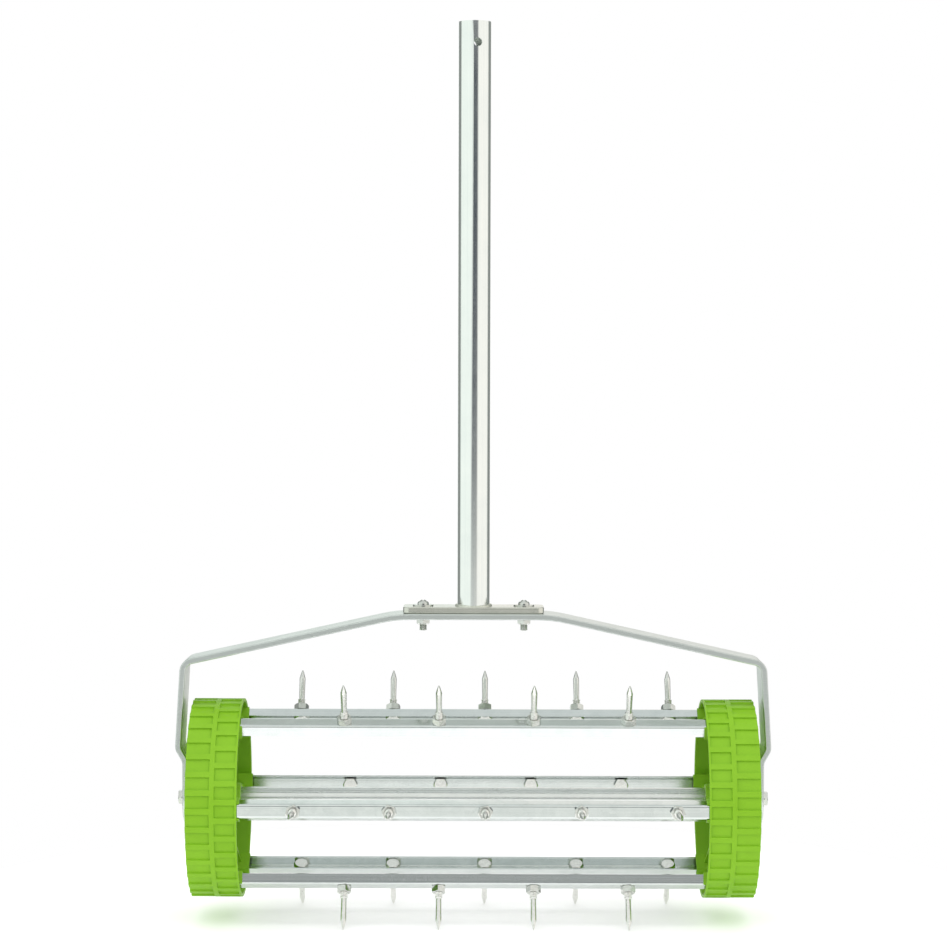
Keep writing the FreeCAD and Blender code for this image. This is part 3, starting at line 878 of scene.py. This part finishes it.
# --- Wheels ---
@dataclass
class Wheel:
    """A moulded wheel: rim with a ribbed tread, disc, hub, six rail pockets and their gussets.

    It is drawn about the X axis on the +X side, and mirrored for the other side.
    """

    radius: float
    outer_x: float = 216.5 * MM
    inner_x: float = 177.6 * MM
    rim_radius: float = 73.9 * MM
    tread_depth: float = 1.3 * MM
    rib_count: int = 34
    rib_width: float = 4.6 * MM
    band_inner_x: float = 194.5 * MM
    band_outer_x: float = 198.5 * MM
    lip: float = 1.6 * MM
    ramp: float = 0.3 * MM
    edge_round: float = 0.45 * MM
    disc_inner_x: float = 207.5 * MM
    disc_outer_x: float = 210.5 * MM
    hub_radius: float = 11.0 * MM
    hub_inner_x: float = 180.0 * MM
    hub_outer_x: float = 217.2 * MM
    bore: float = 8.06 * MM
    pocket_x: float = 176.0 * MM
    pocket_foot: float = 63.7 * MM
    pocket_wall: float = 1.4 * MM
    pocket_round: float = 0.25 * MM
    pocket_seam: float = 0.05 * MM
    pocket_bevel: float = 0.2 * MM
    roof_rise: float = 0.6 * MM
    cavity_half_widths: tuple[float, float] = (8.03 * MM, 5.3 * MM)
    cavity_top: float = 73.0 * MM
    gusset_thickness: float = 2.0 * MM
    gusset_drop: float = 12.0 * MM
    face_rib_height: float = 3.5 * MM
    face_rib_thickness: float = 2.2 * MM
    small_round: float = 0.5 * MM
    large_round: float = 1.5 * MM
    bore_round: float = 0.3 * MM
    rim_round: float = 0.9 * MM
    overlap: float = 1.0 * MM
    bevel: float = 0.3 * MM
    gusset_setback: float = 6.3 * MM
    count: int = 6

    def rib_share(self, angles: np.ndarray, stagger: float) -> np.ndarray:
        """1 on a cross rib, 0 between ribs, with a short smooth wall between the two.

        Args:
            angles: The directions about the axle.
            stagger: By how much of the ribs' spacing this column is turned.

        Returns:
            The share of the tread's depth that stands at each direction.
        """
        spacing = 2.0 * math.pi / self.rib_count
        offset = np.mod(angles / spacing - stagger + 0.5, 1.0) - 0.5
        away = np.abs(offset) * spacing * self.radius
        half = self.rib_width / 2.0
        return 1.0 - smooth_step(half - self.ramp / 2.0, half + self.ramp / 2.0, away)

    def tread_radius(self, x: np.ndarray, angles: np.ndarray) -> np.ndarray:
        """The tread's radius: the full radius less the depth wherever a column has no rib.

        Args:
            x: Places along the axle, as a column.
            angles: The directions about the axle.

        Returns:
            The radius at each place and direction.
        """
        ramp = self.ramp / 2.0
        start = self.inner_x + self.lip
        inner_column = smooth_step(start - ramp, start + ramp, x) * smooth_step(
            self.band_inner_x + ramp, self.band_inner_x - ramp, x
        )
        outer_column = smooth_step(self.band_outer_x - ramp, self.band_outer_x + ramp, x)
        sunk = inner_column * (1.0 - self.rib_share(angles, 0.5))
        sunk = sunk + outer_column * (1.0 - self.rib_share(angles, 0.0))
        return self.radius - self.tread_depth * sunk

    def angles(self) -> np.ndarray:
        """The directions of the grid's columns: five through each rib wall, and the ribs' middles.

        Returns:
            The directions in rising order.
        """
        spacing = 2.0 * math.pi / self.rib_count
        wall = self.ramp / 2.0 / self.radius
        half = self.rib_width / 2.0 / self.radius
        through = np.linspace(-wall, wall, 5)
        one_rib = np.concatenate([through - half, [0.0], through + half])
        starts = np.arange(2 * self.rib_count) * spacing / 2.0
        return np.sort((starts[:, None] + one_rib).ravel())

    def tread_places(self) -> np.ndarray:
        """Places along the axle where the tread has rows: five through each of its walls.

        Returns:
            The places in rising order.
        """
        through = np.linspace(-self.ramp / 2.0, self.ramp / 2.0, 5)
        walls = (self.inner_x + self.lip, self.band_inner_x, self.band_outer_x)
        inner = self.inner_x + self.edge_round
        outer = self.outer_x - self.edge_round
        middle = (self.band_outer_x + outer) / 2.0
        return np.sort(np.concatenate([[inner, middle, outer], *(wall + through for wall in walls)]))

    def body(self) -> np.ndarray:
        """Rim, disc and hub as one ring of rows: a profile carried round the axle.

        The tread's rows come first. A quarter circle closes each edge of the tread, with its radius
        taken from the tread's own, and the rest of the profile is a rounded outline.

        Returns:
            The grid, whose last row joins its first.
        """
        angles = self.angles()
        places = self.tread_places()[:, None]
        tread = self.tread_radius(places, angles)
        bend = np.linspace(0.0, math.pi / 2.0, 4)[1:, None]
        down = self.edge_round * (1.0 - np.cos(bend))
        out = self.edge_round * (1.0 - np.sin(bend))
        small, large = self.small_round, self.large_round
        fillet_top = self.hub_radius + large
        rest = rounded_outline(
            [
                (self.outer_x, self.radius - self.tread_depth - 2.0 * self.edge_round, 0.0),
                (self.outer_x, self.rim_radius, small),
                (self.disc_outer_x, self.rim_radius, large),
                (self.disc_outer_x, fillet_top, large),
                (self.hub_outer_x, self.hub_radius, small),
                (self.hub_outer_x, self.bore, self.bore_round),
                (self.hub_inner_x, self.bore, self.bore_round),
                (self.hub_inner_x, self.hub_radius, small),
                (self.disc_inner_x, fillet_top, large),
                (self.disc_inner_x, self.rim_radius, large),
                (self.inner_x, self.rim_radius, self.rim_round),
                (self.inner_x, self.radius - 2.0 * self.edge_round, 0.0),
            ]
        )
        rows = [
            (places, tread),
            (self.outer_x - out, tread[-1:] - down),
            (rest[:, :1], rest[:, 1:]),
            (self.inner_x + out[::-1], tread[:1] - down[::-1]),
        ]
        across, reach = stacked(rows, len(angles))
        return np.stack([across, reach * np.cos(angles), reach * np.sin(angles)], axis=-1)

    def pocket(self) -> list[np.ndarray]:
        """One rail pocket, pointing up: two sloping sides, a foot and, behind the rim's edge, a roof.

        Each wall is a rounded outline across the axle, carried along it; past the rim's edge the
        rail's outer face is left bare.

        Returns:
            One grid for each wall.
        """
        foot_half, top_half = self.cavity_half_widths
        foot, top, wall = self.pocket_foot, self.cavity_top, self.pocket_wall
        small = self.pocket_round
        side = [
            (foot_half + wall, foot, small),
            (top_half + wall, top, small),
            (top_half, top, small),
            (foot_half, foot + wall, 0.0),
            (foot_half, foot, 0.0),
        ]
        other_side = [(-y, z, corner) for y, z, corner in side]
        floor_half = foot_half + self.pocket_seam
        floor = box_corners(-floor_half, foot, floor_half, foot + wall, (0.0, 0.0))
        roof_half = top_half + wall
        roof_top = self.rim_radius + self.roof_rise
        roof = box_corners(-roof_half, top, roof_half, roof_top, (0.0, 0.0))
        back = self.disc_inner_x + self.overlap
        walls = []
        for corners in (side, other_side, floor, roof):
            start = self.inner_x + self.rim_round if corners is roof else self.pocket_x
            wall_grid = slab(rounded_outline(corners), back - start, self.pocket_bevel)[..., [1, 0, 2]]
            walls.append(wall_grid + np.array([(start + back) / 2.0, 0.0, 0.0]))
        return walls

    def gusset(self) -> np.ndarray:
        """A tapered rib, pointing up, from the hub to the foot of a pocket.

        Returns:
            The grid, whose end rows are closed by fans.
        """
        low = self.hub_radius - self.overlap
        high = self.pocket_foot + self.overlap
        start = self.pocket_x + self.gusset_setback
        back = self.disc_inner_x + self.overlap
        slope_foot = (start + self.gusset_drop, low, 1.0 * MM)
        slope_top = (start, high, 0.4 * MM)
        corners = [(back, low, 0.0), slope_foot, slope_top, (back, high, 0.0)]
        return slab(rounded_outline(corners), self.gusset_thickness, self.bevel)

    def face_rib(self) -> np.ndarray:
        """A low rib, pointing up, on the outer side of the disc.

        Returns:
            The grid, whose end rows are closed by fans.
        """
        low = self.hub_radius - self.overlap
        high = self.rim_radius + self.small_round
        back = self.disc_outer_x - self.overlap
        front = self.disc_outer_x + self.face_rib_height
        outline = rounded_outline(box_corners(back, low, front, high, (0.0, self.small_round)))
        return slab(outline, self.face_rib_thickness, self.bevel)

    def build(self, side: Side, axle_height: float, material: Material) -> Piece:
        """Makes one wheel.

        Args:
            side: Which end of the axle it is on.
            axle_height: The axle's height above the ground.
            material: The wheel's material.

        Returns:
            The wheel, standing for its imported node.
        """
        skin = Skin()
        place = np.array([side.value, 1.0, 1.0])
        lift = np.array([0.0, 0.0, axle_height])
        skin.add(self.body() * place + lift, wrap_rows=True)
        step = 2.0 * math.pi / self.count
        for index in range(self.count):
            upright = math.pi / 2.0 - step * index
            for part in (*self.pocket(), self.gusset()):
                skin.add(turn_about_axle(part, upright) * place + lift)
            skin.add(turn_about_axle(self.face_rib(), step * index) * place + lift)
        name = side.name.lower() + "_wheel"
        piece = skin.build(name + "_moulding", material)
        return stand_for(piece, Body.DRUM, "green_plastic", name)


# --- Sub-assemblies ---
def shifted(points: np.ndarray, x: float, z: float = 0.0) -> np.ndarray:
    """Moves points along the axle and up."""
    return points + np.array([x, 0.0, z])


def dress(material: Material, *nodes: str) -> None:
    """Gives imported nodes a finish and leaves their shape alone.

    Args:
        material: The finish.
        nodes: The nodes' names.
    """
    for node in nodes:
        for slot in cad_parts[node].material_slots:
            slot.material = material


@dataclass
class Drum:
    """The turning drum: six rails with their spikes and nuts between the two wheels."""

    spike_pitch: float = 72.3 * MM
    row_offsets: tuple[float, float] = (9.2 * MM, 10.1 * MM)
    counts: tuple[int, int] = (5, 4)
    turn_step: float = math.radians(23.0)
    head_depth: float = 3.371 * MM
    nut_height: float = 5.0 * MM
    rails: int = 6

    def __post_init__(self) -> None:
        """Takes the drum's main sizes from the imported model."""
        low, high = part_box("axle_tube")
        self.axle_height = (low.z + high.z) / 2.0
        self.rail_radius = -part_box("rail_1")[0].y
        self.tip_radius = -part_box("spikes_1")[0].y

    def spike_places(self, rail: int) -> np.ndarray:
        """Where the spikes stand along one rail."""
        count = self.counts[rail % 2]
        return self.row_offsets[rail % 2] + self.spike_pitch * (np.arange(count) - (count - 1) / 2.0)

    def on_rail(self, points: np.ndarray, rail: int, x: float) -> np.ndarray:
        """Moves points drawn pointing up from the axle onto a rail."""
        angle = math.pi / 2.0 - 2.0 * math.pi / self.rails * rail
        return shifted(turn_about_axle(points, angle), x, self.axle_height)

    def spike_row(self, rail: int, material: Material) -> Piece:
        """The threaded, pointed spikes of one rail.

        Args:
            rail: The rail's number, from 0.
            material: The spikes' material.

        Returns:
            The spikes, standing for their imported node.
        """
        head_top = self.rail_radius - self.head_depth
        spike = Spike(head_top, self.tip_radius, nut_top=self.rail_radius + self.nut_height)
        skin = Skin()
        for x in self.spike_places(rail):
            skin.add(self.on_rail(spike.surface(0.0), rail, x))
        piece = skin.build(f"threaded_spikes_{rail + 1}", material, smooth_under=28.0)
        return stand_for(piece, Body.DRUM, "spike_steel", f"spikes_{rail + 1}")

    def nut_row(self, rail: int, material: Material) -> Piece:
        """The nuts that hold the spikes of one rail.

        Args:
            rail: The rail's number, from 0.
            material: The nuts' material.

        Returns:
            The nuts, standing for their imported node.
        """
        nut = Nut(bottom=self.rail_radius, height=self.nut_height)
        skin = Skin()
        for number, x in enumerate(self.spike_places(rail)):
            turn = self.turn_step * (rail + 1) * (number + 1)
            skin.add(self.on_rail(nut.surface(turn), rail, x), wrap_rows=True)
        piece = skin.build(f"chamfered_nuts_{rail + 1}", material, smooth_under=24.0)
        return stand_for(piece, Body.DRUM, "zinc_fasteners", f"spike_nuts_{rail + 1}")

    def build(self) -> Iterator[Piece]:
        """Makes the drum's new pieces and dresses its rails.

        Yields:
            Each new piece.
        """
        low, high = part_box("right_wheel")
        wheel = Wheel(radius=(high.z - low.z) / 2.0)
        plastic = GREEN_PLASTIC.material()
        for side in Side:
            yield wheel.build(side, self.axle_height, plastic)
        steel, zinc = SPIKE_STEEL.material(), FASTENER_ZINC.material()
        for rail in range(self.rails):
            yield self.spike_row(rail, steel)
            yield self.nut_row(rail, zinc)
        dress(RAIL_ZINC.material(), *(f"rail_{rail + 1}" for rail in range(self.rails)))


@dataclass
class Handle:
    """The handle frame: yoke, plate, tube, weld bead, screws and the axle."""

    weld_leg: float = 2.2 * MM
    weld_ripples: int = 26
    weld_ripple_depth: float = 0.09
    screw_spacing: float = 78.0 * MM
    washer_thickness: float = 1.0 * MM
    screw_length: float = 20.0 * MM
    nut_height: float = 5.0 * MM
    bar_thickness: float = 4.5 * MM
    weld_drift: Colour = (0.35, 0.50, 0.03)
    weld_phase: float = 0.7
    screw_turns: Range = (0.12, -0.2)
    nut_turn: float = math.radians(30.0)

    def __post_init__(self) -> None:
        """Takes the handle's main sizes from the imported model."""
        low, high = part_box("handle_plate")
        self.plate_bottom = low.z
        self.plate_top = high.z
        tube_low, tube_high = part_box("handle_tube")
        self.tube_radius = (tube_high.x - tube_low.x) / 2.0

    def weld(self) -> Piece:
        """The weld bead: a quarter ellipse carried round the tube, swelling once for each ripple.

        The bead's leg is multiplied by 1 less a small share of the absolute sine of half the
        ripples' angle, so that the ripples lie like overlapped coins, and by a slower drift that
        follows the absolute cosine of the angle, so that the bead is fullest at the tube's sides.

        Returns:
            The bead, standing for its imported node.
        """
        angles = np.linspace(0.0, 2.0 * math.pi, self.weld_ripples * 8, endpoint=False)
        ripple = 1.0 - self.weld_ripple_depth * (1.0 - np.abs(np.sin(self.weld_ripples / 2.0 * angles)))
        least, sides, uneven = self.weld_drift
        drift = least + sides * np.abs(np.cos(angles)) + uneven * np.sin(3.0 * angles + self.weld_phase)
        leg = self.weld_leg * ripple * drift
        bend = np.linspace(0.0, math.pi / 2.0, 7)[:, None]
        radius = self.tube_radius + leg * np.cos(bend)
        height = self.plate_top + leg * np.sin(bend)
        inner = np.full_like(radius[:1], self.tube_radius)
        radii = np.vstack([radius, inner])
        heights = np.vstack([height, np.full_like(inner, self.plate_top)])
        skin = Skin()
        skin.add(turned(heights, radii, angles), wrap_rows=True)
        piece = skin.build("weld_bead", BEAD_METAL.material(), smooth_under=50.0)
        return stand_for(piece, Body.FRAME, "zinc_plate", "tube_weld")

    def screws(self, material: Material) -> Piece:
        """The two pan-head screws that hold the plate to the yoke.

        Args:
            material: The screws' material.

        Returns:
            The screws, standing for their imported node.
        """
        seat = self.plate_top + self.washer_thickness
        screw = PanScrew(seat=seat, end=seat - self.screw_length)
        skin = Skin()
        for side, turn in zip(Side, self.screw_turns):
            skin.add(shifted(screw.surface(turn), side.value * self.screw_spacing / 2.0))
        piece = skin.build("pan_head_screws", material, smooth_under=40.0)
        return stand_for(piece, Body.FRAME, "zinc_fasteners", "plate_screws")

    def nuts(self, material: Material) -> Piece:
        """The nuts under the yoke on the plate's screws.

        Args:
            material: The nuts' material.

        Returns:
            The nuts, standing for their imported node.
        """
        bottom = self.plate_bottom - self.bar_thickness - self.nut_height
        nut = Nut(bottom=bottom, height=self.nut_height, head=STEEP_HEAD)
        skin = Skin()
        for side in Side:
            place = side.value * self.screw_spacing / 2.0
            skin.add(shifted(nut.surface(self.nut_turn), place), wrap_rows=True)
        piece = skin.build("chamfered_plate_nuts", material, smooth_under=24.0)
        return stand_for(piece, Body.FRAME, "zinc_fasteners", "plate_nuts")

    def build(self) -> Iterator[Piece]:
        """Makes the handle's new pieces and dresses the others.

        Yields:
            Each new piece.
        """
        zinc = FASTENER_ZINC.material()
        yield self.weld()
        yield self.screws(zinc)
        yield self.nuts(zinc)
        dress(ZINC_TUBE.material(), "handle_tube")
        dress(ZINC_PLATE.material(), "handle_plate")
        dress(YOKE_STEEL.material(), "yoke_bar")
        dress(AXLE_STEEL.material(), "axle_tube")
        paired = ("axle_bolt", "axle_washer", "axle_insert", "thrust_washer")
        dress(zinc, "plate_washers", *(f"{side.name.lower()}_{part}" for side in Side for part in paired))


# --- Studio ---
@dataclass
class Surroundings:
    """What the metal mirrors: white sides and back with dark gaps, a grey ceiling and a darker ground.

    Directions are a turn from the front, to the right, and a height, both in degrees. Matt
    surfaces see an even grey instead, and the view itself a plain white.
    """

    background: float = 1.0
    ambient: float = 0.30
    left_white: Colour = (0.94, 1.0, 0.96)
    right_white: Colour = (1.0, 0.99, 0.95)
    white_turns: Range = (-40.0, 40.0)
    gap_left: Range = (-23.0, -15.0)
    gap_right: Range = (29.0, 17.0)
    gap_lean: float = 0.6
    gap_heights: Range = (-4.0, 10.5)
    gap_soft: float = 3.0
    gap_colour: Colour = (0.07, 0.08, 0.10)
    rear_turns: Range = (112.0, 160.0)
    rear_soft: float = 4.0
    rear_colour: Colour = (0.25, 0.27, 0.26)
    ceiling_heights: Range = (52.0, 72.0)
    ceiling_colour: Colour = (0.76, 0.80, 0.79)
    ground_heights: Range = (-12.0, -16.0)
    ground_colour: Colour = (0.42, 0.45, 0.44)

    def __post_init__(self) -> None:
        """Starts an empty world and works out the turn and height of each direction."""
        world = bpy.data.worlds.new("studio")
        bpy.context.scene.world = world
        world.use_nodes = True
        self.nodes = Nodes(world.node_tree)
        self.nodes.tree.nodes.clear()
        direction = self.nodes.add("ShaderNodeTexCoord", {}).outputs["Generated"]
        x, y, z = self.nodes.add("ShaderNodeSeparateXYZ", {"Vector": direction}).outputs[:3]
        calculate = self.nodes.calculate
        self.turn = calculate("DEGREES", calculate("ARCTAN2", x, calculate("MULTIPLY", y, -1.0)))
        self.height = calculate("DEGREES", calculate("ARCSINE", z))

    def rise(self, value: Socket, ends: Range) -> Socket:
        """A smooth rise from 0 at the first end to 1 at the second."""
        inputs = {"Value": value, "From Min": ends[0], "From Max": ends[1]}
        node = self.nodes.add("ShaderNodeMapRange", inputs, interpolation_type="SMOOTHSTEP")
        return node.outputs["Result"]

    def window(self, value: Socket, ends: Range, soft: float) -> Socket:
        """1 between two angles, with soft ends.

        Args:
            value: The turn or the height.
            ends: The two angles.
            soft: Half the width of each soft end.

        Returns:
            The share.
        """
        start, end = ends
        up = self.rise(value, (start - soft, start + soft))
        down = self.rise(value, (end + soft, end - soft))
        return self.nodes.calculate("MULTIPLY", up, down)

    def gap(self) -> Socket:
        """Where the front gap is; its left side leans.

        Returns:
            The share.
        """
        calculate = self.nodes.calculate
        leaning = calculate("SUBTRACT", self.turn, calculate("MULTIPLY", self.height, self.gap_lean))
        left, right = self.rise(leaning, self.gap_left), self.rise(self.turn, self.gap_right)
        level = self.window(self.height, self.gap_heights, self.gap_soft)
        return calculate("MULTIPLY", calculate("MULTIPLY", left, right), level)

    def build(self) -> None:
        """Joins everything to the world's output."""
        blend = self.nodes.blend
        aside = self.nodes.calculate("ABSOLUTE", self.turn)
        mirrored = blend(self.rise(self.turn, self.white_turns), self.left_white, self.right_white)
        mirrored = blend(self.gap(), mirrored, self.gap_colour)
        mirrored = blend(self.window(aside, self.rear_turns, self.rear_soft), mirrored, self.rear_colour)
        mirrored = blend(self.rise(self.height, self.ceiling_heights), mirrored, self.ceiling_colour)
        mirrored = blend(self.rise(self.height, self.ground_heights), mirrored, self.ground_colour)
        path = self.nodes.add("ShaderNodeLightPath", {}).outputs
        seen = blend(path["Is Diffuse Ray"], mirrored, (self.ambient,) * 3)
        seen = blend(path["Is Camera Ray"], seen, (self.background,) * 3)
        surface = self.nodes.add("ShaderNodeBackground", {"Color": seen, "Strength": 1.0})
        self.nodes.add("ShaderNodeOutputWorld", {"Surface": surface.outputs[0]})


def hang(data: bpy.types.Light, turn: Colour, place: Colour = (0.0, 0.0, 0.0)) -> None:
    """Puts a light into the scene, where it doesn't show in the metal.

    Args:
        data: The light.
        turn: Its turn about X, Y and Z.
        place: Where it hangs.
    """
    lamp = bpy.data.objects.new(data.name, data)
    bpy.context.scene.collection.objects.link(lamp)
    lamp.location = place
    lamp.rotation_euler = turn
    lamp.visible_glossy = False


@dataclass(frozen=True)
class WideSun:
    """A very wide sun that lights floor and plastic evenly."""

    name: str
    strength: float
    height: float
    spread: float

    def build(self) -> None:
        """Makes the sun; a height of 0 degrees is level with the floor, in front."""
        data = bpy.data.lights.new(self.name, "SUN")
        data.energy = self.strength
        data.angle = math.radians(self.spread)
        hang(data, (math.radians(90.0 - self.height), 0.0, 0.0))


@dataclass(frozen=True)
class SoftBox:
    """A square soft light that looks at the drum."""

    name: str
    place: Colour
    size: float = 1.2
    power: float = 5.0
    target: Colour = (0.0, 0.0, 0.2)

    def build(self) -> None:
        """Makes the light and turns it to its target."""
        data = bpy.data.lights.new(self.name, "AREA")
        data.shape = "SQUARE"
        data.size = self.size
        data.energy = self.power
        aim = np.array(self.target) - np.array(self.place)
        fall = math.atan2(-aim[2], math.hypot(aim[0], aim[1]))
        hang(data, (math.pi / 2.0 - fall, 0.0, math.atan2(-aim[0], aim[1])), self.place)


@dataclass
class Studio:
    """Floor, surroundings, soft lights and camera."""

    camera_place: Colour = (-0.0003, -2.2, 0.4229)
    camera_pitch: float = math.radians(-2.03)
    camera_roll: float = math.radians(0.15)
    lens_mm: float = 108.2
    sensor_mm: float = 36.0
    floor_rings: tuple[float, ...] = (0.1, 0.2, 0.3, 0.45)
    floor_columns: int = 96
    lights: tuple[WideSun | SoftBox, ...] = (
        WideSun("high_sun", strength=3.0, height=84.0, spread=150.0),
        WideSun("front_sun", strength=0.55, height=8.0, spread=90.0),
        SoftBox("left_side", (-2.2, -0.4, 1.3)),
        SoftBox("right_side", (2.2, -0.4, 1.3)),
    )

    def floor(self) -> Piece:
        """A round, flat, pale floor, as rings of points about the origin.

        Returns:
            The floor.
        """
        rings, columns = len(self.floor_rings), self.floor_columns
        radii = np.array(self.floor_rings)[:, None] * np.ones((1, columns))
        angles = np.linspace(0.0, 2.0 * math.pi, columns, endpoint=False)
        grid = turned(np.zeros((rings, 1)), radii, angles)
        points = np.vstack([grid.reshape(-1, 3), np.zeros((1, 3))])
        around = np.arange(columns)
        fan = np.stack([np.full(columns, rings * columns), around, (around + 1) % columns], axis=1)
        mesh = bpy.data.meshes.new("floor")
        mesh.from_pydata(points, [], fan.tolist() + grid_quads(rings, columns, False)[:, ::-1].tolist())
        mesh.materials.append(PALE_FLOOR.material())
        piece = bpy.data.objects.new("floor", mesh)
        bpy.context.scene.collection.objects.link(piece)
        piece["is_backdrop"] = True
        return piece

    def camera(self) -> None:
        """The camera in front of the object, a little above it and looking slightly down."""
        data = bpy.data.cameras.new("camera")
        data.lens = self.lens_mm
        data.sensor_width = self.sensor_mm
        camera = bpy.data.objects.new("camera", data)
        bpy.context.scene.collection.objects.link(camera)
        camera.location = self.camera_place
        upright = Euler((math.pi / 2.0 + self.camera_pitch, 0.0, 0.0)).to_matrix()
        roll = Euler((0.0, 0.0, self.camera_roll)).to_matrix()
        camera.rotation_euler = (upright @ roll).to_euler()
        bpy.context.scene.camera = camera

    def build(self) -> None:
        """Sets the whole studio up."""
        self.floor()
        Surroundings().build()
        for light in self.lights:
            light.build()
        self.camera()
        bpy.context.scene.view_settings.view_transform = "Standard"


def main() -> None:
    """Builds each sub-assembly in order and reports its pieces."""
    logging.basicConfig(level=logging.INFO, format="%(name)s: %(message)s")
    for assembly in (Drum(), Handle()):
        for piece in assembly.build():
            LOG.info("%s made %s, %d faces", type(assembly).__name__, piece.name, len(piece.data.polygons))
    Studio().build()
    boxes = {"cad": CAD_BOX, "visual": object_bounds()}
    {name: [list(corner) for corner in box] for name, box in boxes.items()}


if __name__ == "__main__":
    main()
